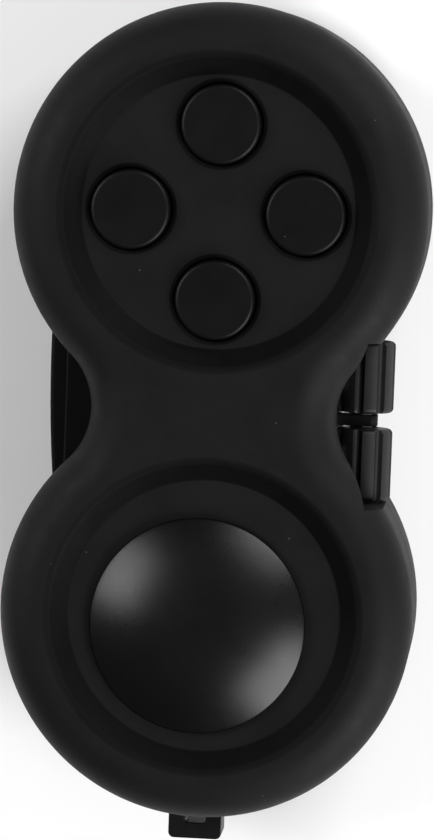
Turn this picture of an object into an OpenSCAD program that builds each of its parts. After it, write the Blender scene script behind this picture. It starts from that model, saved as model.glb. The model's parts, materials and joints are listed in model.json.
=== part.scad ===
// Two-lobed fidget pad: click buttons, joystick, thumb rollers, rocker switch, spin dial.
// It lies on its back: +Z is the face, +Y is the button end, and the origin is the
// middle of the flat back face. Millimetres.

/* [Body] */
// Radius of each round lobe
lobe_r = 21.5; // [21.3:0.1:22]
// Distance from the middle to each lobe's centre
lobe_y = 20.85; // [20.6:0.05:21.2]
// Half the width of the waist between the lobes
waist_half_w = 12.7; // [12.6:0.1:13]
// Height of the closed case
body_h = 22; // [22:0.5:23]
// Rounding of the case's outer edge
edge_r = 4.5; // [4:0.25:5]

/* [Face recesses] */
// Radius of each recess at the rim
recess_rim_r = 16.1; // [15.9:0.1:16.2]
// Radius of each recess at its floor
recess_floor_r = 14.1; // [14:0.1:14.4]
// Depth of the recesses
recess_depth = 1.5; // [1.3:0.1:1.6]
// Thickness of the face under a recess
floor_t = 2; // [1.9:0.1:2.1]

/* [Buttons] */
// Radius of a button
button_r = 4.1; // [3.9:0.1:4.1]
// Distance from the lobe's centre to each button
button_ring_r = 9; // [8.8:0.1:9.2]
// How far a button stands above the recess floor
button_proud = 1.2; // [1:0.1:1.3]

/* [Joystick] */
// Radius of the joystick cap
cap_r = 11.2; // [10.8:0.1:11.4]
// Height of the cap's crown above its edge
cap_rise = 2.9; // [2.5:0.1:3.2]
// Where the stick comes to rest along X
stick_rest_x = -0.6; // [-0.8:0.1:0.5]
// Where the stick comes to rest along Y
stick_rest_y = -1; // [-1:0.1:0.5]

/* [Rollers] */
// Radius over a roller's ridges
roller_r = 3; // [2.9:0.1:3.1]
// Length of one roller
roller_len = 7.5; // [7.2:0.1:7.6]
// Gap between the two rollers
roller_gap = 1.7; // [1.6:0.1:1.9]
// Ridges around a roller
ridge_count = 8; // [8:1:10]

/* [Switch] */
// Tilt of the rocker at rest, in degrees
rocker_tilt = 2; // [1.5:0.25:2.25]
// How far the rocker's crest lies from the middle of the pad
rocker_reach = 17.45; // [17.3:0.05:17.6]

/* [Hidden] */

$fn = 96;
soft_black = [0.13, 0.13, 0.135];
black = [0.08, 0.08, 0.085];
inner_grey = [0.35, 0.36, 0.38];
rubber_grey = [0.5, 0.52, 0.55];
steel = [0.72, 0.73, 0.75];

// Levels through the case
split_z = body_h / 2;
floor_z = body_h - recess_depth;
ceiling_z = floor_z - floor_t;
wall_t = 2;
lip_z = 16.5;
cavity_r = lobe_r - wall_t;
crown_cavity_r = 17.5;
back_floor_z = 5.2;
past = 1;

// Gaps between parts, from a close running fit to a loose one, and under a screw's tip
snug = 0.05;
easy = 0.1;
loose = 0.15;
tip_room = 0.2;

// The waist's hollow side is an arc that runs smoothly into both lobes
waist_r = (lobe_y * lobe_y + waist_half_w * waist_half_w - lobe_r * lobe_r)
    / (2 * (lobe_r - waist_half_w));
waist_x = waist_half_w + waist_r;

// Case screws, driven from the back
case_screw_r = 0.95;
case_screw_clear_r = 1.15;
case_head_r = 1.55;
case_head_h = 1.3;
case_head_z = 1.4;
case_pocket_r = 1.75;
case_boss_r = 2.2;
case_screw_tip_z = 17;
case_screw_ring_r = 15.3;
case_screw_angle = 52;
waist_screw_at = [1.1, 4.2];
CASE_SCREWS = concat(
    [for (s = [-1, 1], a = [case_screw_angle, 180 - case_screw_angle])
        [case_screw_ring_r * cos(a), s * (lobe_y + case_screw_ring_r * sin(a))]],
    [for (s = [-1, 1]) [waist_screw_at[0], s * waist_screw_at[1]]]
);

// Small screws inside the case
thread_r = 0.8;
pilot_gap = 0.02;
screw_clear_r = 1;
small_head_r = 1.4;
small_head_h = 1.1;
small_boss_r = 1.8;
slot_w = 0.5;
slot_depth = 0.5;
slot_reach = 0.6;

// Buttons, their rubber domes and the plate behind them
button_hole_r = button_r + 0.2;
button_hole_bevel = 0.55;
button_top_z = floor_z + button_proud;
button_edge_r = 0.4;
button_edge_cut = button_edge_r * (1 - cos(45));
flange_r = button_r + 0.9;
flange_h = 1.1;
flange_top_z = ceiling_z - 0.1;
plunger_r = 1.8;
plate_r = 12.9;
plate_t = 1.5;
plate_top_z = 14;
plate_corner = [-7.2, 11.5];
dome_r = 3.6;
dome_h = 1.9;
dome_crown_r = 2;
rubber_t = 0.5;
plate_screw_ring_r = 11.2;
plate_screw_tip_z = 18;
BUTTON_AT = [[0, 1], [-1, 0], [1, 0], [0, -1]];
PLATE_SCREWS = [for (a = [45 : 90 : 315])
    [plate_screw_ring_r * cos(a), plate_screw_ring_r * sin(a) + lobe_y]];

// Joystick: the stem slides along Y in the cross slider, which slides along X in the tray
stem_hole_r = 5.2;
cap_gap = 0.4;
cap_edge_z = floor_z + cap_gap;
cap_band = 0.35;
cap_wall = 1.2;
cap_sphere_r = (cap_r * cap_r + cap_rise * cap_rise) / (2 * cap_rise);
cap_top_z = cap_edge_z + cap_band + cap_rise;
cap_boss_r = 3.2;
stem_r = 2.6;
stem_top_z = cap_edge_z + 0.5;
spigot_r = 1.8;
spigot_len = 1.1;
stick_screw_head_z = 15.1;
stick_screw_tip_z = 23;
stem_block = [7.8, 6.4];
slider_size = [18, 14.8];
slider_window = [8, 12.4];
tray_window = [28, 14.9];
tray_r = 17.2;
tray_floor_z = 14.6;
tray_floor_t = 1.6;
tray_top_z = ceiling_z - 0.2;
slide_low_z = tray_floor_z + 0.15;
slide_top_z = tray_top_z - 0.15;
slide_mid_z = (slide_low_z + slide_top_z) / 2;
tray_boss_z = 16;
tray_screw_tip_z = 19.6;
tray_notch_r = case_boss_r + 0.2;
tray_upper_y = -12.05;
TRAY_SCREWS = [for (x = [-3.6, 3.6], y = [-11.4, 11.4]) [x, y - lobe_y]];
stick_x = stick_rest_x;
stick_y = stick_rest_y - lobe_y;
spring_gap = 0.05;
spring_pin_r = 0.6;
spring_pin_len = 0.6;
spring_r = 1;
wire_r = 0.18;
spring_turns = 4;
TURN_STEPS = 12;
WIRE_SIDES = 8;

// Rollers, on one steel shaft at the level where the case splits
roller_x = 15.4;
rollers_y = -0.6;
shaft_r = 0.8;
shaft_len = 20;
shaft_seat_gap = 0.03;
roller_bore_r = shaft_r + snug;
groove_r = 0.44;
groove_depth = 0.42;
first_ridge = 12.5;
end_bevel = 0.5;
hub_len = 0.15;
hub_r = 1.5;
web_half_y = 0.6;
web_half_z = 1.4;
web_bevel = 0.7;
web_reach_x = roller_x + 1.4;
pocket_gap = 0.45;
pocket_side_x = roller_x - roller_r - pocket_gap;
pocket_half_y = roller_len + roller_gap / 2 + 0.2;
pocket_half_z = roller_r + pocket_gap;
flare_x = 12.2;
flare_slope = 1.6;
roller_wall_x = pocket_side_x - 1.6;
roller_wall_half_y = shaft_len / 2 + 1.3;
leaf_slot_depth = 0.75;
leaf_slot_half_z = 3.4;
leaf_t = 0.2;
leaf_w = 3;
leaf_tip_gap = 0.17;
leaf_tip_reach = roller_r - groove_depth + leaf_tip_gap;
ridge_pitch = 360 / ridge_count;
first_groove = 90 - first_ridge + ridge_pitch / 2;
leaf_groove = first_groove + ridge_pitch * round((180 - first_groove) / ridge_pitch);
leaf_tip_z = leaf_tip_reach * sin(leaf_groove);
leaf_bow_h = 0.9;

// Rocker switch, on the side away from the rollers
switch_half_y = 9.6;
switch_half_z = 4.4;
switch_fit = 0.1;
housing_face_x = -15.7;
housing_back_x = -8.6;
housing_flange = [1.6, 1];
housing_wall_t = 0.95;
housing_floor_x = -9.7;
switch_wall_x = -7.5;
switch_wall_half_y = 11.2;
rocker_pivot_x = -12.8;
rocker_half_y = 8.4;
rocker_half_z = 3.3;
rocker_bow_r = 150;
rocker_end_depth = 0.8;
rocker_heel_y = 4.4;
rocker_cam_half_y = 3;
rocker_cam_depth = 1.6;
rocker_stop_gap = 0.06;
rocker_room = 0.3;
pin_r = 0.75;
pin_half_len = 4.3;
rocker_bore_r = pin_r + snug;
leaf_post_y = [5.4, 7];
stop_half_y = 7.6;

// Lanyard loop, clamped in the case's end wall
loop_x = -0.7;
loop_half_w = 2.8;
loop_out = 3.2;
loop_bar = 1.7;
loop_slot_in = 0.5;
loop_half_h = 2.2;
loop_fit = 0.05;
loop_flange_grow = 1;
loop_flange_t = 1;

// Back of the case: a spin dial behind the buttons and a thumb dish behind the joystick
dial_r = 12.4;
dial_recess_r = 13;
dial_recess_depth = 3.6;
dial_low_z = 0.4;
dial_t = 2.4;
dial_head_floor_z = 1.75;
dial_head_pocket_r = 3.8;
dial_head_r = 3.6;
dial_head_z = 0.5;
dial_head_h = 1.15;
dial_shoulder_r = 2.2;
dial_bore_r = dial_shoulder_r + snug;
dial_dimple_r = 7;
dial_dimple_at = 7.9;
dial_dimple_depth = 1.1;
dial_edge_bevel = 0.5;
dial_screw_tip_z = 8.4;
dial_boss_r = 3;
dial_boss_top_z = 9;
washer_r = [2.4, 4.2];
washer_z = [2.95, 3.45];
dish_r = 13;
dish_depth = 2.4;
dish_sphere_r = (dish_r * dish_r + dish_depth * dish_depth) / (2 * dish_depth);

// --- shared shapes ---

// The case edge as [inset, z] points, from the parting line to the outer face
function edge_section(face_z, steps = 5) = let (away = face_z > split_z ? 1 : -1) concat(
    [[0, split_z]],
    [for (i = [0 : steps]) let (a = 90 * i / steps)
        [edge_r * (1 - cos(a)), face_z - away * edge_r * (1 - sin(a))]]
);

// A cylinder between two levels
module column(r, z0, z1) {
    translate([0, 0, z0])
        cylinder(r = r, h = z1 - z0);
}

// A box between two opposite corners
module block(low, high) {
    translate(low)
        cube(high - low);
}

// A box that reaches the same distance both ways from a centre along Y and Z
module slab(x0, x1, half_y, half_z, mid_y = 0, mid_z = split_z) {
    block([x0, mid_y - half_y, mid_z - half_z], [x1, mid_y + half_y, mid_z + half_z]);
}

module at_each(points) {
    for (p = points)
        translate([p[0], p[1], 0])
            children();
}

module at_lobe(side) {
    translate([0, side * lobe_y, 0])
        children();
}

// A pan-head screw that points up, with a cross slot in the head
module screw(shank_r, head_radius, head_z, head_height, tip_z) {
    difference() {
        union() {
            column(head_radius, head_z, head_z + head_height);
            column(shank_r, head_z, tip_z);
        }
        for (a = [0, 90])
            rotate([0, 0, a])
                block([-head_radius * slot_reach, -slot_w / 2, head_z - past],
                    [head_radius * slot_reach, slot_w / 2, head_z + slot_depth]);
    }
}

// A small compression spring along +X, starting at the origin
module coil_spring(length) {
    rings = spring_turns * TURN_STEPS;
    run = length - 2 * wire_r;
    points = [for (i = [0 : rings], k = [0 : WIRE_SIDES - 1])
        let (turn = 360 * i / TURN_STEPS, side = 360 * k / WIRE_SIDES,
            reach = spring_r + wire_r * cos(side))
        [wire_r + run * i / rings + wire_r * sin(side), reach * cos(turn), reach * sin(turn)]];
    sides = [for (i = [0 : rings - 1], k = [0 : WIRE_SIDES - 1])
        let (a = i * WIRE_SIDES, b = a + WIRE_SIDES, next = (k + 1) % WIRE_SIDES)
        [a + k, a + next, b + next, b + k]];
    first = [for (k = [WIRE_SIDES - 1 : -1 : 0]) k];
    last = [for (k = [0 : WIRE_SIDES - 1]) rings * WIRE_SIDES + k];
    polyhedron(points = points, faces = concat(sides, [first, last]));
}

// --- case ---

// One half of the case as a closed block, from the parting line to its outer face
module case_block(face_z) {
    section = edge_section(face_z);
    away = face_z > split_z ? 1 : -1;
    for (side = [-1, 1])
        at_lobe(side)
            rotate_extrude()
                polygon(concat(
                    [[0, split_z]],
                    [for (p = section) [lobe_r - p[0], p[1]]],
                    [[0, face_z]]
                ));
    difference() {
        translate([0, 0, min(split_z, face_z)])
            linear_extrude(abs(face_z - split_z))
                polygon([[waist_x, 0], [0, lobe_y], [-waist_x, 0], [0, -lobe_y]]);
        for (side = [-1, 1])
            translate([side * waist_x, 0, 0])
                rotate_extrude()
                    polygon(concat(
                        [[0, split_z - away * past], [waist_r, split_z - away * past]],
                        [for (p = section) [waist_r + p[0], p[1]]],
                        [[waist_r + edge_r, face_z + away * past], [0, face_z + away * past]]
                    ));
    }
}

// Solid walls that stay around the roller pocket and the switch
module side_walls() {
    far = 2 * lobe_r;
    slab(roller_wall_x, far, roller_wall_half_y, far, rollers_y);
    slab(-far, switch_wall_x, switch_wall_half_y, far);
}

// One roller's pocket below its end at high_y, flared towards the thumb
module roller_pocket(high_y) {
    far = 2 * lobe_r;
    far_z = pocket_half_z + (far - flare_x) * flare_slope;
    translate([0, high_y, split_z])
        rotate([90, 0, 0])
            linear_extrude(pocket_half_y - web_half_y)
                polygon([[pocket_side_x, -pocket_half_z], [flare_x, -pocket_half_z], [far, -far_z],
                    [far, far_z], [flare_x, pocket_half_z], [pocket_side_x, pocket_half_z]]);
}

// Everything that is cut from both halves along the parting line
module parting_cuts() {
    far = 2 * lobe_r;
    for (side = [-1, 1]) {
        roller_pocket(side > 0 ? rollers_y + pocket_half_y : rollers_y - web_half_y);
        slab(pocket_side_x - leaf_slot_depth, far, leaf_w / 2 + switch_fit, leaf_slot_half_z,
            roller_mid_y(side));
    }
    translate([roller_x, rollers_y, split_z])
        rotate([90, 0, 0])
            cylinder(r = shaft_r + shaft_seat_gap, h = shaft_len + 2 * shaft_seat_gap, center = true);
    slab(-far, housing_back_x + switch_fit, switch_half_y + switch_fit, switch_half_z + switch_fit);
    slab(housing_back_x - housing_flange[0] - switch_fit, housing_back_x + switch_fit,
        switch_half_y + switch_fit, switch_half_z + housing_flange[1] + switch_fit);
    block([loop_x - loop_half_w - loop_fit, -lobe_y - lobe_r - past, split_z - loop_half_h - loop_fit],
        [loop_x + loop_half_w + loop_fit, -lobe_y - cavity_r + past, split_z + loop_half_h + loop_fit]);
}

// Half of the web between the rollers, which holds the middle of their shaft
module roller_web(away) {
    translate([0, rollers_y + web_half_y, split_z])
        rotate([90, 0, 0])
            linear_extrude(2 * web_half_y)
                polygon([[roller_wall_x, 0], [web_reach_x, 0],
                    [web_reach_x, away * (web_half_z - web_bevel)],
                    [web_reach_x - web_bevel, away * web_half_z],
                    [roller_wall_x, away * web_half_z]]);
}

module front_cavity() {
    difference() {
        for (side = [-1, 1])
            at_lobe(side) {
                column(cavity_r, split_z - past, lip_z);
                column(crown_cavity_r, lip_z - past, ceiling_z);
            }
        side_walls();
    }
}

module face_recess() {
    rotate_extrude()
        polygon([[0, floor_z], [recess_floor_r, floor_z], [recess_rim_r, body_h],
            [recess_rim_r, body_h + past], [0, body_h + past]]);
}

module button_hole() {
    column(button_hole_r, ceiling_z - past, floor_z + past);
    rotate_extrude()
        polygon([[0, floor_z - button_hole_bevel], [button_hole_r, floor_z - button_hole_bevel],
            [button_hole_r + button_hole_bevel, floor_z],
            [button_hole_r + button_hole_bevel, floor_z + past], [0, floor_z + past]]);
}

module front_shell() {
    color(soft_black)
        difference() {
            union() {
                difference() {
                    case_block(body_h);
                    front_cavity();
                    for (side = [-1, 1])
                        at_lobe(side)
                            face_recess();
                }
                at_each(CASE_SCREWS)
                    column(case_boss_r, split_z, ceiling_z + past / 2);
                at_each(PLATE_SCREWS)
                    column(small_boss_r, plate_top_z, ceiling_z + past / 2);
                at_each(TRAY_SCREWS)
                    column(small_boss_r, tray_boss_z, ceiling_z + past / 2);
                roller_web(1);
            }
            parting_cuts();
            at_lobe(1)
                at_each(BUTTON_AT * button_ring_r)
                    button_hole();
            at_lobe(-1)
                column(stem_hole_r, ceiling_z - past, floor_z + past);
            at_each(CASE_SCREWS)
                column(case_screw_r + pilot_gap, split_z - past, case_screw_tip_z + tip_room);
            at_each(PLATE_SCREWS)
                column(thread_r + pilot_gap, plate_top_z - past, plate_screw_tip_z + tip_room);
            at_each(TRAY_SCREWS)
                column(thread_r + pilot_gap, tray_boss_z - past, tray_screw_tip_z + tip_room);
        }
}

module back_shell() {
    color(soft_black)
        difference() {
            union() {
                difference() {
                    case_block(0);
                    difference() {
                        for (side = [-1, 1])
                            at_lobe(side)
                                column(cavity_r, back_floor_z, split_z + past);
                        side_walls();
                    }
                }
                at_each(CASE_SCREWS)
                    column(case_boss_r, back_floor_z - past / 2, split_z);
                at_lobe(1)
                    column(dial_boss_r, back_floor_z - past / 2, dial_boss_top_z);
                roller_web(-1);
            }
            parting_cuts();
            at_each(CASE_SCREWS) {
                column(case_screw_clear_r, -past, split_z + past);
                column(case_pocket_r, -past, case_head_z + case_head_h);
            }
            at_lobe(1) {
                column(dial_recess_r, -past, dial_recess_depth);
                column(thread_r + pilot_gap, 0, dial_screw_tip_z + tip_room);
            }
            at_lobe(-1)
                translate([0, 0, dish_depth - dish_sphere_r])
                    sphere(r = dish_sphere_r, $fn = 192);
        }
}

module case_screws() {
    color(steel)
        at_each(CASE_SCREWS)
            screw(case_screw_r, case_head_r, case_head_z, case_head_h, case_screw_tip_z);
}

module lanyard_loop() {
    end_y = -lobe_y - lobe_r;
    flange_reach = abs(loop_x) + loop_half_w + loop_flange_grow;
    inside_y = -lobe_y - sqrt(cavity_r * cavity_r - flange_reach * flange_reach) + loop_fit;
    color(black)
        difference() {
            union() {
                block([loop_x - loop_half_w, end_y - loop_out, split_z - loop_half_h],
                    [loop_x + loop_half_w, inside_y, split_z + loop_half_h]);
                block([loop_x - loop_half_w - loop_flange_grow, inside_y,
                        split_z - loop_half_h - loop_flange_grow],
                    [loop_x + loop_half_w + loop_flange_grow, inside_y + loop_flange_t,
                        split_z + loop_half_h + loop_flange_grow]);
            }
            block([loop_x - loop_half_w + loop_bar, end_y - loop_out + loop_bar,
                    split_z - loop_half_h - past],
                [loop_x + loop_half_w - loop_bar, end_y + loop_slot_in,
                    split_z + loop_half_h + past]);
        }
}

// --- buttons ---

module button(place) {
    color(black)
        at_lobe(1)
            translate([place[0] * button_ring_r, place[1] * button_ring_r, 0])
                rotate_extrude()
                    polygon([
                        [0, plate_top_z + dome_h + snug], [plunger_r, plate_top_z + dome_h + snug],
                        [plunger_r, flange_top_z - flange_h], [flange_r, flange_top_z - flange_h],
                        [flange_r, flange_top_z], [button_r, flange_top_z],
                        [button_r, button_top_z - button_edge_r],
                        [button_r - button_edge_cut, button_top_z - button_edge_cut],
                        [button_r - button_edge_r, button_top_z], [0, button_top_z]
                    ]);
}

module dome(place) {
    base_z = plate_top_z;
    top_z = base_z + dome_h;
    color(rubber_grey)
        at_lobe(1)
            translate([place[0] * button_ring_r, place[1] * button_ring_r, 0])
                rotate_extrude()
                    polygon([
                        [dome_r - 2 * rubber_t, base_z], [dome_r, base_z], [dome_r, base_z + rubber_t],
                        [dome_r - rubber_t, base_z + rubber_t], [dome_crown_r, top_z - rubber_t],
                        [dome_crown_r, top_z], [0, top_z], [0, top_z - rubber_t],
                        [dome_crown_r - rubber_t, top_z - rubber_t - easy]
                    ]);
}

module button_plate() {
    color(inner_grey)
        difference() {
            at_lobe(1)
                column(plate_r, plate_top_z - plate_t, plate_top_z);
            at_each(PLATE_SCREWS)
                column(screw_clear_r, plate_top_z - plate_t - past, plate_top_z + past);
            block([-2 * plate_r, 0, 0], [plate_corner[0], plate_corner[1], body_h]);
        }
}

module button_plate_screws() {
    color(steel)
        at_each(PLATE_SCREWS)
            screw(thread_r, small_head_r, plate_top_z - plate_t - small_head_h, small_head_h,
                plate_screw_tip_z);
}

// --- joystick ---

module joystick_cap() {
    color(black)
        translate([stick_x, stick_y, 0])
            difference() {
                union() {
                    difference() {
                        intersection() {
                            translate([0, 0, cap_top_z - cap_sphere_r])
                                sphere(r = cap_sphere_r, $fn = 192);
                            column(cap_r, cap_edge_z, cap_top_z + past);
                        }
                        intersection() {
                            translate([0, 0, cap_top_z - cap_sphere_r])
                                sphere(r = cap_sphere_r - cap_wall, $fn = 192);
                            column(cap_r - cap_wall, cap_edge_z - past, cap_top_z);
                        }
                    }
                    column(cap_boss_r, stem_top_z, cap_top_z - cap_wall / 2);
                }
                column(spigot_r + pilot_gap, cap_edge_z, stem_top_z + spigot_len + easy);
                column(thread_r + pilot_gap, cap_edge_z, stick_screw_tip_z + tip_room);
            }
}

module joystick_stem() {
    color(inner_grey)
        translate([stick_x, stick_y, 0])
            difference() {
                union() {
                    block([-stem_block[0] / 2, -stem_block[1] / 2, slide_low_z],
                        [stem_block[0] / 2, stem_block[1] / 2, slide_top_z]);
                    column(stem_r, slide_mid_z, stem_top_z);
                    column(spigot_r, slide_mid_z, stem_top_z + spigot_len);
                    translate([0, 0, slide_mid_z])
                        rotate([90, 0, 0])
                            cylinder(r = spring_pin_r, h = stem_block[1] + 2 * spring_pin_len,
                                center = true);
                }
                column(small_head_r + easy, slide_low_z - past, stick_screw_head_z + small_head_h);
                column(screw_clear_r, slide_low_z, stem_top_z + 2 * spigot_len);
            }
}

module joystick_screw() {
    color(steel)
        translate([stick_x, stick_y, 0])
            screw(thread_r, small_head_r, stick_screw_head_z, small_head_h, stick_screw_tip_z);
}

module cross_slider() {
    color(inner_grey)
        translate([stick_x, -lobe_y, 0]) {
            difference() {
                block([-slider_size[0] / 2, -slider_size[1] / 2, slide_low_z],
                    [slider_size[0] / 2, slider_size[1] / 2, slide_top_z]);
                block([-slider_window[0] / 2, -slider_window[1] / 2, slide_low_z - past],
                    [slider_window[0] / 2, slider_window[1] / 2, slide_top_z + past]);
            }
            for (side = [-1, 1])
                translate([side * slider_size[0] / 2, 0, slide_mid_z])
                    rotate([0, 90, 0])
                        cylinder(r = spring_pin_r, h = 2 * spring_pin_len, center = true);
        }
}

module joystick_tray() {
    color(inner_grey)
        difference() {
            at_lobe(-1)
                column(tray_r, tray_floor_z - tray_floor_t, tray_top_z);
            at_lobe(-1)
                block([-tray_window[0] / 2, -tray_window[1] / 2, tray_floor_z],
                    [tray_window[0] / 2, tray_window[1] / 2, tray_top_z + past]);
            block([roller_wall_x - loose, tray_upper_y, 0], [2 * tray_r, 0, body_h]);
            block([-2 * tray_r, tray_upper_y, 0], [switch_wall_x + loose, 0, body_h]);
            at_each(CASE_SCREWS)
                column(tray_notch_r, 0, body_h);
            at_each(TRAY_SCREWS) {
                column(screw_clear_r, 0, body_h);
                column(small_boss_r + easy, tray_boss_z, body_h);
            }
        }
}

module tray_screws() {
    color(steel)
        at_each(TRAY_SCREWS)
            screw(thread_r, small_head_r, tray_floor_z - tray_floor_t - small_head_h, small_head_h,
                tray_screw_tip_z);
}

// Centring springs fill the gaps on each side of the slider (along X) and the stem (along Y)
module spring_x(side) {
    length = tray_window[0] / 2 - slider_size[0] / 2 - side * stick_rest_x - 2 * spring_gap;
    color(steel)
        translate([side * (tray_window[0] / 2 - spring_gap), -lobe_y, slide_mid_z])
            rotate([0, 0, side > 0 ? 180 : 0])
                coil_spring(length);
}

module spring_y(side) {
    length = slider_window[1] / 2 - stem_block[1] / 2 - side * stick_rest_y - 2 * spring_gap;
    color(steel)
        translate([stick_x, side * (slider_window[1] / 2 - spring_gap) - lobe_y, slide_mid_z])
            rotate([0, 0, -side * 90])
                coil_spring(length);
}

// --- rollers ---

function roller_mid_y(side) = rollers_y + side * (roller_len + roller_gap) / 2;

// A fluted roller with its axis along Y; its thin hub runs against the case's web
module roller(side) {
    half = roller_len / 2;
    color(black)
        translate([roller_x, roller_mid_y(side), split_z])
            rotate([side > 0 ? 90 : -90, 0, 0])
                difference() {
                    rotate_extrude()
                        polygon([
                            [roller_bore_r, -half], [roller_r - end_bevel, -half],
                            [roller_r, end_bevel - half], [roller_r, half - end_bevel],
                            [roller_r - end_bevel, half], [hub_r, half],
                            [hub_r, half + hub_len], [roller_bore_r, half + hub_len]
                        ]);
                    for (i = [0 : ridge_count - 1])
                        rotate([0, 0, side * first_groove + i * ridge_pitch])
                            translate([roller_r - groove_depth + groove_r, 0, 0])
                                cylinder(r = groove_r, h = roller_len + past, center = true, $fn = 48);
                }
}

module roller_shaft() {
    color(steel)
        translate([roller_x, rollers_y, split_z])
            rotate([90, 0, 0])
                cylinder(r = shaft_r, h = shaft_len, center = true);
}

// A bowed steel leaf whose tip drops into the roller's grooves, one click a ridge
module click_leaf(side) {
    tip_x = roller_x - leaf_tip_reach;
    foot_x = pocket_side_x - leaf_slot_depth + leaf_t + snug;
    bow_x = (tip_x + foot_x) / 2 - snug;
    foot_z = leaf_slot_half_z - easy;
    front = [[foot_x, -foot_z], [bow_x, leaf_tip_z - leaf_bow_h], [tip_x, leaf_tip_z],
        [bow_x, leaf_tip_z + leaf_bow_h], [foot_x, foot_z]];
    color(steel)
        translate([0, roller_mid_y(side) + leaf_w / 2, split_z])
            rotate([90, 0, 0])
                linear_extrude(leaf_w)
                    polygon(concat(front, [for (i = [4 : -1 : 0]) front[i] - [leaf_t, 0]]));
}

// --- rocker switch ---

module switch_housing() {
    half_y = rocker_half_y + rocker_room;
    half_z = switch_half_z - housing_wall_t;
    stop_depth = rocker_end_depth * (stop_half_y - rocker_heel_y) / (rocker_half_y - rocker_heel_y);
    stop_x = rocker_pivot_x - stop_depth * cos(rocker_tilt)
        + stop_half_y * sin(rocker_tilt) + rocker_stop_gap;
    color(black)
        difference() {
            union() {
                difference() {
                    union() {
                        slab(housing_face_x, housing_back_x, switch_half_y, switch_half_z);
                        slab(housing_back_x - housing_flange[0], housing_back_x, switch_half_y,
                            switch_half_z + housing_flange[1]);
                    }
                    slab(housing_face_x - past, housing_floor_x, half_y, half_z);
                }
                for (side = [-1, 1]) {
                    slab(rocker_leaf_x() + leaf_t, housing_floor_x + past / 2,
                        (leaf_post_y[1] - leaf_post_y[0]) / 2,
                        half_z + past / 2, side * (leaf_post_y[0] + leaf_post_y[1]) / 2);
                    slab(stop_x, housing_floor_x + past / 2, (half_y - stop_half_y + past / 2) / 2,
                        half_z + past / 2, side * (half_y + stop_half_y + past / 2) / 2);
                }
            }
            translate([rocker_pivot_x, 0, split_z])
                cylinder(r = pin_r + pilot_gap, h = 2 * (pin_half_len + snug), center = true);
        }
}

function rocker_leaf_x() = rocker_pivot_x + rocker_cam_depth + rocker_stop_gap;

// Section of the rocker before it tilts: a bowed face and, under it, a cam of two flats
module rocker_section(steps = 8) {
    crest = rocker_reach + rocker_pivot_x;
    cam_rise = rocker_cam_half_y * tan(rocker_tilt);
    polygon(concat(
        [for (i = [0 : steps]) let (y = rocker_half_y * (2 * i / steps - 1))
            [y * y / (2 * rocker_bow_r) - crest, y]],
        [
            [-rocker_end_depth, rocker_half_y], [0, rocker_heel_y],
            [rocker_cam_depth - cam_rise, rocker_cam_half_y], [rocker_cam_depth, 0],
            [rocker_cam_depth - cam_rise, -rocker_cam_half_y], [0, -rocker_heel_y],
            [-rocker_end_depth, -rocker_half_y]
        ]
    ));
}

module rocker() {
    color(black)
        translate([rocker_pivot_x, 0, split_z - rocker_half_z])
            difference() {
                rotate([0, 0, rocker_tilt])
                    linear_extrude(2 * rocker_half_z)
                        rocker_section();
                column(rocker_bore_r, -past, 2 * rocker_half_z + past);
            }
}

module rocker_pin() {
    color(steel)
        translate([rocker_pivot_x, 0, split_z])
            cylinder(r = pin_r, h = 2 * pin_half_len, center = true);
}

module rocker_leaf() {
    color(steel)
        slab(rocker_leaf_x(), rocker_leaf_x() + leaf_t, leaf_post_y[1], leaf_w / 2);
}

// --- back of the case ---

module spin_dial() {
    top_z = dial_low_z + dial_t;
    color(black)
        at_lobe(1)
            difference() {
                rotate_extrude()
                    polygon([
                        [0, dial_low_z], [dial_r - dial_edge_bevel, dial_low_z],
                        [dial_r, dial_low_z + dial_edge_bevel], [dial_r, top_z], [0, top_z]
                    ]);
                column(dial_bore_r, 0, top_z + past);
                column(dial_head_pocket_r, 0, dial_head_floor_z);
                translate([0, dial_dimple_at, dial_low_z + dial_dimple_depth - dial_dimple_r])
                    sphere(r = dial_dimple_r);
            }
}

module dial_washer() {
    color(steel)
        at_lobe(1)
            difference() {
                column(washer_r[1], washer_z[0], washer_z[1]);
                column(washer_r[0], washer_z[0] - past, washer_z[1] + past);
            }
}

module dial_screw() {
    color(steel)
        at_lobe(1) {
            screw(thread_r, dial_head_r, dial_head_z, dial_head_h, dial_screw_tip_z);
            column(dial_shoulder_r, dial_head_z + dial_head_h / 2 + slot_depth, dial_recess_depth);
        }
}

front_shell();
back_shell();
case_screws();
lanyard_loop();
button(BUTTON_AT[0]);  // button_top
button(BUTTON_AT[1]);  // button_left
button(BUTTON_AT[2]);  // button_right
button(BUTTON_AT[3]);  // button_bottom
dome(BUTTON_AT[0]);  // dome_top
dome(BUTTON_AT[1]);  // dome_left
dome(BUTTON_AT[2]);  // dome_right
dome(BUTTON_AT[3]);  // dome_bottom
button_plate();
button_plate_screws();
joystick_cap();
joystick_stem();
joystick_screw();
cross_slider();
joystick_tray();
tray_screws();
spring_x(-1);  // spring_x_left
spring_x(1);  // spring_x_right
spring_y(1);  // spring_y_upper
spring_y(-1);  // spring_y_lower
roller(1);  // roller_upper
roller(-1);  // roller_lower
roller_shaft();
click_leaf(1);  // click_leaf_upper
click_leaf(-1);  // click_leaf_lower
switch_housing();
rocker();
rocker_pin();
rocker_leaf();
spin_dial();
dial_washer();
dial_screw();
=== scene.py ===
"""A black two-lobed fidget pad lying on its back, lit by four softboxes and seen from above."""
import json
import math

import bmesh
import bpy
from mathutils import Matrix, Vector
from mathutils.geometry import tessellate_polygon


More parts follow.
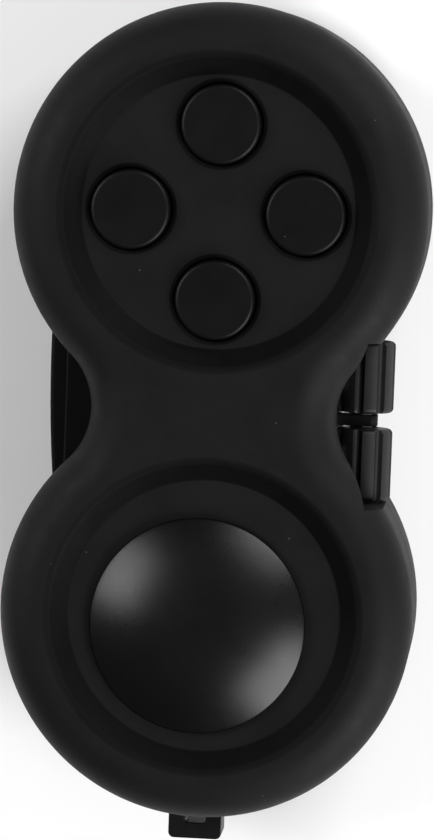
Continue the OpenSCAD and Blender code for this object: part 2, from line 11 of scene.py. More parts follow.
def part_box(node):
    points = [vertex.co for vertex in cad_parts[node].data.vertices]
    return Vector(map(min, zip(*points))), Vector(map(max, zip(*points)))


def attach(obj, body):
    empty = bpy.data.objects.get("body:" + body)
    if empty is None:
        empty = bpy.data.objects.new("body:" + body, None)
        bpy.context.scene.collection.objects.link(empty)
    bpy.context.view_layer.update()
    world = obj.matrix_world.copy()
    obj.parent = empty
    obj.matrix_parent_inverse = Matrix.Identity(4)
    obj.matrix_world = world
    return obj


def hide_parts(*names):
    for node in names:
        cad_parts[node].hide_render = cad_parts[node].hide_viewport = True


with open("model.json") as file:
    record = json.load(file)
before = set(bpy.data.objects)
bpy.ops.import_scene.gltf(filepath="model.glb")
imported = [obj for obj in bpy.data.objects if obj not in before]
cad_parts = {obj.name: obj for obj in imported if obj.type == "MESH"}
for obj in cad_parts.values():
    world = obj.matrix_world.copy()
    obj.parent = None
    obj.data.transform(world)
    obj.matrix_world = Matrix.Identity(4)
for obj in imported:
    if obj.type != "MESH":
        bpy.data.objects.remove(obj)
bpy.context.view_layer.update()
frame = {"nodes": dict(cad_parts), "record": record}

MM = 0.001


def box_mm(node):
    """The lowest and highest corners of a CAD node, in millimetres, to a micrometre."""
    return [Vector([round(c / MM, 3) for c in corner]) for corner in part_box(node)]


def middle(node):
    low, high = box_mm(node)
    return (low + high) / 2


# --- sizes, in millimetres, from the frame where it has them ---

SHELL_LOW, SHELL_HIGH = box_mm("front_shell")
FACE_Z = SHELL_HIGH.z
SPLIT_Z = SHELL_LOW.z
LOBE_R = SHELL_HIGH.x
LOBE_Y = SHELL_HIGH.y - LOBE_R
LOBE_SIDES = (1, -1)
WAIST_HALF_W = 12.7
WAIST_R = (LOBE_Y**2 + WAIST_HALF_W**2 - LOBE_R**2) / (2 * (LOBE_R - WAIST_HALF_W))
WAIST_X = WAIST_HALF_W + WAIST_R
TANGENT = math.atan2(LOBE_Y, WAIST_X)
EDGE_R = 4.5
PART_GAP = 0.04
PART_BEVEL = 0.16

RECESS_RIM_R = 16.1
RECESS_FLOOR_R = 14.1
RECESS_DEPTH = 1.5
FLOOR_Z = FACE_Z - RECESS_DEPTH
CEILING_Z = FLOOR_Z - 2.0
BUTTON_R = 4.1
BUTTON_HOLE_R = 4.3
BUTTON_HOLE_BEVEL = (0.42, 0.2)
STEM_HOLE_R = 5.2
BUTTONS = ("button_top", "button_left", "button_right", "button_bottom")

CAVITY_R = LOBE_R - 2
CROWN_CAVITY_R = 17.5
LIP_Z = 16.5
BACK_FLOOR_Z = 5.2
DIAL_RECESS_R = 13.0
DIAL_RECESS_DEPTH = 3.6
DISH_R = 13.0
DISH_DEPTH = 2.4

ROLLER_R = 3.0
ROLLER_X = middle("roller_shaft").x
ROLLERS_Y = middle("roller_shaft").y
RIDGES = 8
FIRST_RIDGE = math.radians(12.5)
GROOVE_R = 0.44
GROOVE_DEPTH = 0.42
ROLLER_HUB = 0.15
ROLLER_LOW, ROLLER_HIGH = box_mm("roller_upper")
ROLLER_HALF = (ROLLER_HIGH.y - ROLLER_LOW.y - ROLLER_HUB) / 2
POCKET_X = 11.95
POCKET_HALF_Y = ROLLER_HIGH.y - ROLLERS_Y + 0.2
POCKET_HALF_Z = 3.45
FLARE_X = 12.2
FLARE_SLOPE = 1.6
WEB_HALF_Y = 0.6
WEB_HALF_Z = 1.4
LOOP_LOW, LOOP_HIGH = box_mm("lanyard_loop")
LOOP_FLANGE = 1.0

ARC_STEP = math.radians(2)
BIG = 60.0


# --- mesh tools ---


def polar(radius, angle, centre=(0.0, 0.0)):
    return Vector((centre[0] + radius * math.cos(angle), centre[1] + radius * math.sin(angle)))


def arc(centre, radius, start, end, with_end=False):
    """Points along an arc, about one every ARC_STEP."""
    steps = max(2, round(abs(end - start) / ARC_STEP))
    last = steps + 1 if with_end else steps
    return [polar(radius, start + (end - start) * i / steps, centre) for i in range(last)]


def circle(centre, radius, sides=96):
    return [polar(radius, math.tau * i / sides, centre) for i in range(sides)]


def rounded(points, radii, steps=6):
    """A line of 2D points with its corners rounded; radii holds one radius a point."""
    out = []
    for i, corner in enumerate(points):
        here = Vector(corner)
        if radii[i] == 0:
            out.append(here)
            continue
        before = (Vector(points[i - 1]) - here).normalized()
        after = (Vector(points[(i + 1) % len(points)]) - here).normalized()
        half = before.angle(after) / 2
        centre = here + (before + after).normalized() * radii[i] / math.sin(half)
        start = here + before * radii[i] / math.tan(half) - centre
        end = here + after * radii[i] / math.tan(half) - centre
        turn = start.angle_signed(end)
        for k in range(steps + 1):
            out.append(centre + Matrix.Rotation(-turn * k / steps, 2) @ start)
    return out


def rounded_box(low, high, radius, steps=6):
    """The outline of a rectangle with round corners."""
    corners = [(low[0], low[1]), (high[0], low[1]), (high[0], high[1]), (low[0], high[1])]
    return rounded(corners, [radius] * 4, steps)


def flat_ring(points, z):
    return [Vector((p[0], p[1], z)) for p in points]


class Skin:
    """A mesh built ring by ring, in millimetres."""

    def __init__(self):
        self.bm = bmesh.new()

    def ring(self, points):
        return [self.bm.verts.new(p) for p in points]

    def bridge(self, a, b):
        for i in range(len(a)):
            j = (i + 1) % len(a)
            self.bm.faces.new((a[i], a[j], b[j], b[i]))

    def loft(self, rings):
        """Joins rings of equal length one after another, and returns the first and the last."""
        made = [self.ring(r) for r in rings]
        for a, b in zip(made, made[1:]):
            self.bridge(a, b)
        return made[0], made[-1]

    def fan(self, loop, point):
        tip = self.bm.verts.new(point)
        for i in range(len(loop)):
            self.bm.faces.new((loop[i], loop[(i + 1) % len(loop)], tip))

    def fill(self, outer, holes=()):
        """Fills a flat outline, leaving its holes open."""
        loops = [outer, *holes]
        verts = [v for loop in loops for v in loop]
        for tri in tessellate_polygon([[v.co for v in loop] for loop in loops]):
            self.bm.faces.new([verts[i] for i in tri])

    def lathe(self, profile, centre=(0.0, 0.0), sides=96):
        """Turns (radius, z) points about a vertical axis, and returns the rings at its open ends."""
        rings, tips = [], []
        for r, z in profile:
            if r < 1e-6:
                tips.append((len(rings), Vector((centre[0], centre[1], z))))
            else:
                rings.append(flat_ring(circle(centre, r, sides), z))
        first, last = self.loft(rings)
        for index, tip in tips:
            self.fan(first if index == 0 else last, tip)
        return first, last

    def closed(self):
        """The mesh as a closed body with its faces turned outwards."""
        bmesh.ops.remove_doubles(self.bm, verts=self.bm.verts, dist=1e-5)
        drop_flaps(self.bm)
        bmesh.ops.recalc_face_normals(self.bm, faces=self.bm.faces)
        return self.bm


def drop_flaps(bm):
    """Deletes stray faces that hang on an edge which two other faces already share."""
    flaps = [
        face for face in bm.faces
        if any(len(e.link_faces) == 1 for e in face.edges)
        and any(len(e.link_faces) > 2 for e in face.edges)
    ]
    bmesh.ops.delete(bm, geom=flaps, context="FACES")


def prism(outline, start, end, to_space):
    """Pushes a flat outline along an axis; to_space(u, v, w) places a point of it."""
    skin = Skin()
    low, high = skin.loft([[to_space(p[0], p[1], w) for p in outline] for w in (start, end)])
    skin.fill(low)
    skin.fill(high)
    return skin.closed()


def along_x(u, v, w):
    return Vector((w, u, v))


def along_y(u, v, w):
    return Vector((u, w, v))


def along_z(u, v, w):
    return Vector((u, v, w))


def block(low, high, radius=0.0, place=along_x):
    """A box whose edges along X are rounded."""
    a, b = (low[1], low[2]), (high[1], high[2])
    outline = rounded_box(a, b, radius) if radius else [a, (b[0], a[1]), b, (a[0], b[1])]
    return prism(outline, low[0], high[0], place)


def column(radius, z0, z1, centre=(0.0, 0.0), sides=64):
    skin = Skin()
    skin.lathe([(0, z0), (radius, z0), (radius, z1), (0, z1)], centre, sides)
    return skin.closed()


def turned(profile, centre=(0.0, 0.0), sides=96):
    skin = Skin()
    skin.lathe(profile, centre, sides)
    return skin.closed()


def loose(bm, name="tool"):
    mesh = bpy.data.meshes.new(name)
    bm.to_mesh(mesh)
    bm.free()
    obj = bpy.data.objects.new(name, mesh)
    bpy.context.scene.collection.objects.link(obj)
    return obj


def combine(bm, tools, operation):
    """Cuts closed bodies out of bm, or joins them to it, one at a time."""
    obj = loose(bm)
    for tool in tools:
        cutter = loose(tool)
        modifier = obj.modifiers.new("cut", "BOOLEAN")
        modifier.operation = operation
        modifier.solver = "EXACT"
        modifier.object = cutter
        ready = bpy.data.meshes.new_from_object(
            obj.evaluated_get(bpy.context.evaluated_depsgraph_get())
        )
        obj.modifiers.clear()
        repaired = bmesh.new()
        repaired.from_mesh(ready)
        drop_flaps(repaired)
        repaired.to_mesh(ready)
        repaired.free()
        obj.data = ready
        bpy.data.objects.remove(cutter)
    out = bmesh.new()
    out.from_mesh(obj.data)
    bpy.data.objects.remove(obj)
    return out


def cut(bm, *tools):
    return combine(bm, tools, "DIFFERENCE")


def join(bm, *tools):
    return combine(bm, tools, "UNION")


def soften(bm, width, segments=3, above=35):
    """Rounds every edge sharper than that many degrees."""
    bmesh.ops.remove_doubles(bm, verts=bm.verts, dist=1e-4)
    bmesh.ops.dissolve_limit(bm, angle_limit=math.radians(0.5), verts=bm.verts, edges=bm.edges)
    edges = [
        e for e in bm.edges
        if len(e.link_faces) == 2 and e.calc_face_angle() > math.radians(above)
    ]
    bmesh.ops.bevel(
        bm, geom=edges, offset=width, segments=segments, profile=0.5, affect="EDGES",
        clamp_overlap=True,
    )
    return bm


def merged(bodies):
    """Several closed bodies in one mesh."""
    out = bmesh.new()
    for bm in bodies:
        mesh = bpy.data.meshes.new("part")
        bm.to_mesh(mesh)
        bm.free()
        out.from_mesh(mesh)
        bpy.data.meshes.remove(mesh)
    return out


def piece(name, bm, material, body, nodes=(), sharp=30):
    """Makes a finished piece that rides on a body and stands for CAD nodes."""
    bmesh.ops.remove_doubles(bm, verts=bm.verts, dist=1e-5)
    for edge in bm.edges:
        two = len(edge.link_faces) == 2
        edge.smooth = two and edge.calc_face_angle() < math.radians(sharp)
    for face in bm.faces:
        face.smooth = True
    bmesh.ops.scale(bm, vec=(MM, MM, MM), verts=bm.verts)
    obj = loose(bm, name)
    obj.data.materials.append(material)
    weighted = obj.modifiers.new("normals", "WEIGHTED_NORMAL")
    weighted.keep_sharp = True
    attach(obj, body)
    if nodes:
        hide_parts(*nodes)
    return obj


# --- materials ---

SPECK_PITCH = 2.6
SMEAR_DEPTH = 0.006
CASE_BLACK = (0.0032, 0.0032, 0.0033)
DEEP_BLACK = (0.0014, 0.0014, 0.0015)


def new_material(name):
    material = bpy.data.materials.new(name)
    material.use_nodes = True
    tree = material.node_tree
    return material, tree.nodes, tree.links, tree.nodes["Principled BSDF"]


def noise(nodes, links, coords, size_mm, detail=3.0, rough=0.55):
    """Noise with features of about that size."""
    node = nodes.new("ShaderNodeTexNoise")
    node.inputs["Scale"].default_value = 1 / (size_mm * MM)
    node.inputs["Detail"].default_value = detail
    node.inputs["Roughness"].default_value = rough
    links.new(coords.outputs["Object"], node.inputs["Vector"])
    return node


def ramp(nodes, links, source, low, high, out_low, out_high):
    node = nodes.new("ShaderNodeMapRange")
    node.inputs["From Min"].default_value = low
    node.inputs["From Max"].default_value = high
    node.inputs["To Min"].default_value = out_low
    node.inputs["To Max"].default_value = out_high
    links.new(source, node.inputs["Value"])
    return node.outputs["Result"]


def bumps(nodes, links, shader, layers):
    """Stacks bump layers of (height, depth in millimetres, strength)."""
    normal = None
    for height, depth_mm, strength in layers:
        node = nodes.new("ShaderNodeBump")
        node.inputs["Strength"].default_value = strength
        node.inputs["Distance"].default_value = depth_mm * MM
        links.new(height, node.inputs["Height"])
        if normal is not None:
            links.new(normal, node.inputs["Normal"])
        normal = node.outputs["Normal"]
    links.new(normal, shader.inputs["Normal"])


def plastic(name, colour, rough, grain_mm, grain_depth, spread=0.06, specks=0.0, level=0.5):
    """Moulded plastic: fine grain, uneven gloss, faint handling marks and a little dust."""
    material, nodes, links, shader = new_material(name)
    coords = nodes.new("ShaderNodeTexCoord")
    grain = noise(nodes, links, coords, grain_mm, 4.0, 0.6)
    cloud = noise(nodes, links, coords, 6.0, 4.0, 0.6)
    smear = noise(nodes, links, coords, 1.4, 5.0, 0.65)
    gloss = nodes.new("ShaderNodeMath")
    gloss.operation = "ADD"
    clouded = ramp(nodes, links, cloud.outputs["Fac"], 0.3, 0.7, rough - spread, rough + spread)
    smeared = ramp(nodes, links, smear.outputs["Fac"], 0.45, 0.75, 0.0, -spread)
    links.new(clouded, gloss.inputs[0])
    links.new(smeared, gloss.inputs[1])
    links.new(gloss.outputs["Value"], shader.inputs["Roughness"])

    tone = nodes.new("ShaderNodeMix")
    tone.data_type = "RGBA"
    tone.inputs["A"].default_value = (*[c * 0.82 for c in colour], 1)
    tone.inputs["B"].default_value = (*[c * 1.2 for c in colour], 1)
    links.new(ramp(nodes, links, cloud.outputs["Fac"], 0.3, 0.7, 0.0, 1.0), tone.inputs["Factor"])
    base = tone.outputs["Result"]
    if specks:
        cells = nodes.new("ShaderNodeTexVoronoi")
        cells.inputs["Scale"].default_value = 1 / (SPECK_PITCH * MM)
        links.new(coords.outputs["Object"], cells.inputs["Vector"])
        dust = nodes.new("ShaderNodeMix")
        dust.data_type = "RGBA"
        links.new(base, dust.inputs["A"])
        dust.inputs["B"].default_value = (*[specks] * 3, 1)
        amount = ramp(nodes, links, cells.outputs["Distance"], 0.03, 0.015, 0.0, 1.0)
        links.new(amount, dust.inputs["Factor"])
        base = dust.outputs["Result"]
    links.new(base, shader.inputs["Base Color"])
    shader.inputs["Specular IOR Level"].default_value = level
    layers = [(grain.outputs["Fac"], grain_depth, 1.0), (smear.outputs["Fac"], SMEAR_DEPTH, 0.5)]
    bumps(nodes, links, shader, layers)
    return material


def metal(name, colour, rough, brush_mm=0.05):
    """Plated steel with fine drawn lines."""
    material, nodes, links, shader = new_material(name)
    coords = nodes.new("ShaderNodeTexCoord")
    lines = noise(nodes, links, coords, brush_mm, 2.0, 0.5)
    cloud = noise(nodes, links, coords, 1.5, 3.0, 0.6)
    gloss = ramp(nodes, links, cloud.outputs["Fac"], 0.3, 0.7, rough - 0.08, rough + 0.08)
    links.new(gloss, shader.inputs["Roughness"])
    tone = nodes.new("ShaderNodeMix")
    tone.data_type = "RGBA"
    tone.inputs["A"].default_value = (*[c * 0.85 for c in colour], 1)
    tone.inputs["B"].default_value = (*colour, 1)
    links.new(cloud.outputs["Fac"], tone.inputs["Factor"])
    links.new(tone.outputs["Result"], shader.inputs["Base Color"])
    shader.inputs["Metallic"].default_value = 1.0
    bumps(nodes, links, shader, [(lines.outputs["Fac"], 0.004, 0.6)])
    return material


SOFT_TOUCH = plastic("soft_touch_black", CASE_BLACK, 0.6, 0.16, 0.018, specks=0.08, level=0.145)
# Painted shade: copies of the case black with less and less reflection, which darken the recess slopes
# more the steeper they are.
SHADE_STEP_SLOPES = (6, 16, 28)
BAND_SHADE_PLASTICS = [
    plastic(f"band_painted_shade_{i}", CASE_BLACK, 0.58, 0.16, 0.010, level=level)
    for i, level in enumerate((0.09, 0.06, 0.038))
]
BUTTON_PLASTIC = plastic("button_black", DEEP_BLACK, 0.43, 0.12, 0.012, 0.03, specks=0.06, level=0.16)
CAP_PLASTIC = plastic("cap_black", DEEP_BLACK, 0.29, 0.12, 0.010, 0.02, level=0.29)
ROLLER_PLASTIC = plastic("roller_black", (0.006, 0.006, 0.0061), 0.5, 0.2, 0.008, level=0.3)
SWITCH_PLASTIC = plastic("switch_black", DEEP_BLACK, 0.55, 0.2, 0.010, level=0.08)
SATIN = plastic("satin_black", DEEP_BLACK, 0.4, 0.25, 0.006, level=0.25)
INNER = plastic("inner_plastic", (0.1, 0.105, 0.11), 0.5, 0.3, 0.01)
RUBBER = plastic("silicone_rubber", (0.3, 0.31, 0.33), 0.7, 0.2, 0.01)
STEEL = metal("plated_steel", (0.6, 0.6, 0.61), 0.3)
BLACK_STEEL = metal("blackened_steel", (0.12, 0.12, 0.125), 0.38)


# --- case ---

SCREW_RING_R = 15.3
SCREW_ANGLE = math.radians(52)
WAIST_SCREW = (1.1, 4.2)
CASE_SCREWS = [
    (side * SCREW_RING_R * math.cos(SCREW_ANGLE), lobe * (LOBE_Y + SCREW_RING_R * math.sin(SCREW_ANGLE)))
    for lobe in LOBE_SIDES for side in (1, -1)
] + [(WAIST_SCREW[0], lobe * WAIST_SCREW[1]) for lobe in LOBE_SIDES]
PLATE_SCREWS = [
    tuple(polar(11.2, math.radians(a), (0, LOBE_Y))) for a in (45, 135, 225, 315)
]
TRAY_SCREWS = [(x, y - LOBE_Y) for x in (-3.6, 3.6) for y in (-11.4, 11.4)]
BOSS_R = 2.2
SMALL_BOSS_R = 1.8
PILOT_R = 0.97
SMALL_PILOT_R = 0.82
PILOT_TOP_Z = 17.4
DIAL_BOSS_R = 3.0
ROLLER_WALL = (10.35, 11.3)  # where the solid plastic round the rollers starts, and its half length
SWITCH_WALL = (7.5, 11.2)
SWITCH_HOLE_HALF_Y = 9.7
SWITCH_HOLE_X = 8.5


def outline(inset):
    """The pad's outline, pulled in by inset: two lobes joined by two hollow arcs."""
    lobe, waist = LOBE_R - inset, WAIST_R + inset
    points = arc((0, LOBE_Y), lobe, -TANGENT, math.pi + TANGENT)
    points += arc((-WAIST_X, 0), waist, TANGENT, -TANGENT)
    points += arc((0, -LOBE_Y), lobe, math.pi - TANGENT, math.tau + TANGENT)
    points += arc((WAIST_X, 0), waist, math.pi + TANGENT, math.pi - TANGENT)
    return points


def edge_section(face_z):
    """(inset, z) points up the case's wall, from the parting line to its flat face."""
    up = 1 if face_z > SPLIT_Z else -1
    first = SPLIT_Z + up * PART_GAP
    wall = [(PART_BEVEL, first), (0.04, first + up * 0.04), (0.0, first + up * PART_BEVEL)]
    wall += [(0.0, first + up * 0.5)]
    steps = 14
    for i in range(steps + 1):
        a = math.pi / 2 * i / steps
        wall.append((EDGE_R * (1 - math.cos(a)), face_z - up * EDGE_R * (1 - math.sin(a))))
    return wall + [(EDGE_R + 0.15, face_z)]


def case_half(face_z, top_features, parting_holes):
    """One half of the case as a closed block, with features let into its face."""
    skin = Skin()
    parting, rim = skin.loft([flat_ring(outline(i), z) for i, z in edge_section(face_z)])
    skin.fill(rim, top_features(skin))
    skin.fill(parting, parting_holes(skin))
    return skin.closed()


def side_walls():
    """Blocks of solid plastic that stay around the roller pocket and the switch."""
    roller_x, roller_half = ROLLER_WALL
    switch_x, switch_half = SWITCH_WALL
    return [
        block((roller_x, ROLLERS_Y - roller_half, -BIG), (BIG, ROLLERS_Y + roller_half, BIG)),
        block((-BIG, -switch_half, -BIG), (-switch_x, switch_half, BIG)),
    ]


def roller_pocket(low_y, high_y):
    """A roller's pocket, flared towards the thumb."""
    far = POCKET_HALF_Z + (BIG - FLARE_X) * FLARE_SLOPE
    upper = [(BIG, far), (FLARE_X, POCKET_HALF_Z), (POCKET_X, POCKET_HALF_Z)]
    lower = [(x, -z) for x, z in reversed(upper)]
    shape = rounded(lower + upper, [0.12, 0.2, 0, 0, 0.2, 0.12], 5)
    return prism([(x, SPLIT_Z + z) for x, z in shape], low_y, high_y, along_y)


def roller_web(up):
    """Half of the thin web between the rollers, which holds the middle of their shaft."""
    low, high = up * PART_GAP, up * WEB_HALF_Z
    near, reach = ROLLER_WALL[0], ROLLER_X + 1.4
    shape = rounded([(near, low), (reach, low), (reach, high), (near, high)], [0, 0.1, 0.75, 0], 6)
    shape = [(x, SPLIT_Z + z) for x, z in shape]
    half_y = WEB_HALF_Y - 0.015
    return soften(prism(shape, ROLLERS_Y - half_y, ROLLERS_Y + half_y, along_y), 0.12, 2)


def parting_cuts():
    """What is cut from both halves along the parting line."""
    half_y = SWITCH_HOLE_HALF_Y
    cuts = [
        roller_pocket(ROLLERS_Y + WEB_HALF_Y, ROLLERS_Y + POCKET_HALF_Y),
        roller_pocket(ROLLERS_Y - POCKET_HALF_Y, ROLLERS_Y - WEB_HALF_Y),
        block((-BIG, -half_y, SPLIT_Z - 4.5), (-SWITCH_HOLE_X, half_y, SPLIT_Z + 4.5), 0.6),
        block((-10.3, -half_y, SPLIT_Z - 5.5), (-SWITCH_HOLE_X, half_y, SPLIT_Z + 5.5)),
        block((LOOP_LOW.x + LOOP_FLANGE - 0.05, -BIG, SPLIT_Z - 2.25),
              (LOOP_HIGH.x - LOOP_FLANGE + 0.05, -39.35, SPLIT_Z + 2.25)),
    ]
    for node in ("click_leaf_upper", "click_leaf_lower"):
        y = middle(node).y
        cuts.append(block((11.2, y - 1.6, SPLIT_Z - 3.4), (12.5, y + 1.6, SPLIT_Z + 3.4)))
    return cuts


def with_web(shell, up):
    """Adds the web between the rollers, then cuts the seat of their shaft."""
    seat_r, half = 0.83, 10.05
    seat = turned([(0, -half), (seat_r, -half), (seat_r, half), (0, half)], sides=48)
    lay_down = Matrix.Rotation(math.pi / 2, 4, "X")
    seat.transform(Matrix.Translation((ROLLER_X, ROLLERS_Y, SPLIT_Z)) @ lay_down)
    return cut(merged([shell, roller_web(up)]), seat)


def face_recess(skin, lobe):
    """A recess's rim, sloping wall and the start of its floor. Returns its outer and inner rings."""
    corners = [
        (RECESS_RIM_R + 0.75, FACE_Z), (RECESS_RIM_R, FACE_Z),
        (RECESS_FLOOR_R, FLOOR_Z), (RECESS_FLOOR_R - 0.2, FLOOR_Z),
    ]
    profile = rounded(corners, [0, 1.8, 0.4, 0], 8)
    return skin.lathe(profile, (0, lobe * LOBE_Y), 160)


def button_hole(skin, node):
    centre = middle(node)
    width, depth = BUTTON_HOLE_BEVEL
    corners = [
        (BUTTON_HOLE_R + width + 0.05, FLOOR_Z), (BUTTON_HOLE_R + width, FLOOR_Z),
        (BUTTON_HOLE_R, FLOOR_Z - depth), (BUTTON_HOLE_R, CEILING_Z - 0.5), (0, CEILING_Z - 0.5),
    ]
    return skin.lathe(rounded(corners, [0, 0.2, 0.15, 0, 0], 4), (centre.x, centre.y), 96)[0]


def front_face(skin):
    holes = []
    for lobe in LOBE_SIDES:
        rim, floor = face_recess(skin, lobe)
        holes.append(rim)
        if lobe > 0:
            skin.fill(floor, [button_hole(skin, node) for node in BUTTONS])
        else:
            profile = [(STEM_HOLE_R, FLOOR_Z), (STEM_HOLE_R, CEILING_Z - 0.5), (0, CEILING_Z - 0.5)]
            skin.fill(floor, [skin.lathe(profile, (0, -LOBE_Y), 96)[0]])
    return holes


def front_pilots(skin):
    profile = [(PILOT_R, SPLIT_Z + PART_GAP), (PILOT_R, PILOT_TOP_Z), (0, PILOT_TOP_Z)]
    return [skin.lathe(profile, at, 32)[0] for at in CASE_SCREWS]


def front_case():
    shell = case_half(FACE_Z, front_face, front_pilots)
    profile = [
        (0, SPLIT_Z - 1), (CAVITY_R, SPLIT_Z - 1), (CAVITY_R, LIP_Z),
        (CROWN_CAVITY_R, LIP_Z), (CROWN_CAVITY_R, CEILING_Z), (0, CEILING_Z),
    ]
    inside = [turned(profile, (0, lobe * LOBE_Y), 128) for lobe in LOBE_SIDES]
    kept = side_walls()
    kept += [column(BOSS_R, -1, BIG, at, 32) for at in CASE_SCREWS]
    kept += [column(SMALL_BOSS_R, 14, BIG, at, 32) for at in PLATE_SCREWS]
    kept += [column(SMALL_BOSS_R, 16, BIG, at, 32) for at in TRAY_SCREWS]
    cavity = cut(merged(inside), *kept)
    pilots = [column(SMALL_PILOT_R, 13, 18.2, at, 32) for at in PLATE_SCREWS]
    pilots += [column(SMALL_PILOT_R, 15, 19.7, at, 32) for at in TRAY_SCREWS]
    return with_web(cut(shell, cavity, *parting_cuts(), merged(pilots)), 1)


def back_face(skin):
    recess = rounded([
        (DIAL_RECESS_R + 0.4, 0), (DIAL_RECESS_R, 0),
        (DIAL_RECESS_R, DIAL_RECESS_DEPTH), (0, DIAL_RECESS_DEPTH),
    ], [0, 0.3, 0.25, 0])
    sphere_r = (DISH_R**2 + DISH_DEPTH**2) / (2 * DISH_DEPTH)
    rings = 28
    dish = [(DISH_R + 0.5, 0.0), (DISH_R + 0.22, 0.012)]
    for i in range(rings + 1):
        r = (DISH_R - 0.15) * (1 - i / rings)
        dish.append((r, math.sqrt(sphere_r**2 - r**2) - sphere_r + DISH_DEPTH))
    return [
        skin.lathe(recess, (0, LOBE_Y), 160)[0],
        skin.lathe(dish, (0, -LOBE_Y), 160)[0],
    ]


def back_case():
    tubes = {}

    def face(skin):
        holes = back_face(skin)
        for at in CASE_SCREWS:
            profile = [
                (1.95, 0), (1.8, 0.03), (1.75, 0.15), (1.75, 2.7),
                (1.15, 2.7), (1.15, SPLIT_Z - PART_GAP),
            ]
            mouth, tubes[at] = skin.lathe(profile, at, 48)
            holes.append(mouth)
        return holes

    shell = case_half(0.0, face, lambda skin: [tubes[at] for at in CASE_SCREWS])
    inside = [
        column(CAVITY_R, BACK_FLOOR_Z, SPLIT_Z + 1, (0, lobe * LOBE_Y), 128)
        for lobe in LOBE_SIDES
    ]
    kept = side_walls() + [column(BOSS_R, -1, BIG, at, 32) for at in CASE_SCREWS]
    kept.append(column(DIAL_BOSS_R, -1, 9, (0, LOBE_Y), 48))
    cavity = cut(merged(inside), *kept)
    pilot = column(SMALL_PILOT_R, 3, 8.6, (0, LOBE_Y), 32)
    return with_web(cut(shell, cavity, *parting_cuts(), pilot), -1)


# --- buttons and joystick ---


def button(node):
    """A flat round button with a small rounded edge and a skirt under the case."""
    low, high = box_mm(node)
    centre = middle(node)
    stem_r, skirt_r, skirt_z, skirt_top = 1.8, 5.0, 17.3, 18.4
    corners = [
        (0, low.z), (stem_r, low.z), (stem_r, skirt_z), (skirt_r, skirt_z), (skirt_r, skirt_top),
        (BUTTON_R, skirt_top), (BUTTON_R, high.z), (BUTTON_R - 0.75, high.z), (0, high.z),
    ]
    return turned(rounded(corners, [0, 0, 0, 0.2, 0.2, 0, 0.42, 0, 0], 8), (centre.x, centre.y), 128)


def joystick_cap():
    """A shallow dome with a thin rounded edge, hollow underneath round a screw boss."""
    low, high = box_mm("joystick_cap")
    centre = middle("joystick_cap")
    radius = (high.x - low.x) / 2
    band, wall, boss_r, socket_r = 0.35, 1.2, 3.2, 1.82
    rise = high.z - low.z - band
    sphere_r = (radius**2 + rise**2) / (2 * rise)
    crown = high.z - sphere_r

    def dome(r, sphere):
        return (r, crown + math.sqrt(sphere**2 - r**2))

    outside = [dome(radius * (1 - 0.02) * (1 - i / 40), sphere_r) for i in range(41)]
    corners = [(radius - wall, low.z), (radius, low.z), (radius, low.z + band), outside[1]]
    edge = rounded(corners, [0, 0.15, 0.3, 0], 5)
    boss_z, socket_z = low.z + 0.5, low.z + 1.7
    under = [(0, socket_z), (socket_r, socket_z), (socket_r, boss_z), (boss_r, boss_z)]
    for i in range(12):
        under.append(dome(boss_r + (radius - wall - boss_r) * i / 12, sphere_r - wall))
    return turned(under + edge + outside[2:], (centre.x, centre.y), 160)


# --- rollers ---


def flute(angle, limit):
    """Radius of the fluted roller at an angle from a groove's middle, no more than limit."""
    pitch = math.tau / RIDGES
    off = (angle + pitch / 2) % pitch - pitch / 2
    centre = ROLLER_R - GROOVE_DEPTH + GROOVE_R
    inside = GROOVE_R**2 - (centre * math.sin(off)) ** 2
    if inside <= 0:
        return limit
    bottom = centre * math.cos(off) - math.sqrt(inside)
    blend = 0.10
    gap = max(blend - abs(bottom - limit), 0) / blend
    return min(bottom, limit) - gap * gap * blend / 4


def roller(node):
    """A fluted roller with rounded ends and a thin hub towards the other roller."""
    side = 1 if middle(node).y > ROLLERS_Y else -1
    half, hub, end_r, steps = ROLLER_HALF, ROLLER_HUB, 0.5, 6
    count = RIDGES * 24
    first_groove = math.pi / 2 - FIRST_RIDGE + math.pi / RIDGES
    mid_y = middle(node).y + side * hub / 2
    section = []
    for i in range(steps + 1):
        a = math.pi / 2 * i / steps
        section.append((-half + end_r * (1 - math.sin(a)), ROLLER_R - end_r * (1 - math.cos(a))))
    section = section[::-1] + [(-w, r) for w, r in section]
    skin = Skin()

    def point(w, radius, angle):
        # w runs towards the other roller, which is along -Y for the upper one
        x, z = radius * math.cos(angle), radius * math.sin(angle)
        return Vector((ROLLER_X + x, mid_y - side * w, SPLIT_Z + z))

    angles = [math.tau * i / count for i in range(count)]
    hub_profile = [(0, 2.2), (0, 1.55), (0.05, 1.5), (hub - 0.03, 1.5), (hub, 1.45), (hub, 0.85)]
    rings = [[point(-half, r, a) for a in angles] for r in (0.85, 1.4, 2.2)]
    for w, r in section:
        rings.append([point(w, flute(a - first_groove, r), a) for a in angles])
    rings += [[point(half + w, r, a) for a in angles] for w, r in hub_profile]
    made = [skin.ring(r) for r in rings]
    for a, b in zip(made, made[1:] + made[:1]):
        skin.bridge(a, b)
    return skin.closed()


# --- rocker switch ---

PIVOT_X = middle("rocker_pin").x
ROCKER_TILT = math.radians(2)


def rocker():
    """A long bowed rocker with softened edges, tilted to its rest position."""
    half_y, half_z, crest = 8.4, 3.3, 17.45 + PIVOT_X
    cam = 3 * math.tan(ROCKER_TILT)
    steps = 32
    face = [
        (y * y / 300 - crest, y)
        for y in (half_y * (2 * i / steps - 1) for i in range(steps + 1))
    ]
    under = [
        (-0.8, half_y), (0, 4.4), (1.6 - cam, 3), (1.6, 0),
        (1.6 - cam, -3), (0, -4.4), (-0.8, -half_y),
    ]
    body = soften(prism(face + under, SPLIT_Z - half_z, SPLIT_Z + half_z, along_z), 0.45, 4)
    body.transform(Matrix.Translation((PIVOT_X, 0, 0)) @ Matrix.Rotation(ROCKER_TILT, 4, "Z"))
    return cut(body, column(0.8, 0, BIG, (PIVOT_X, 0), 48))


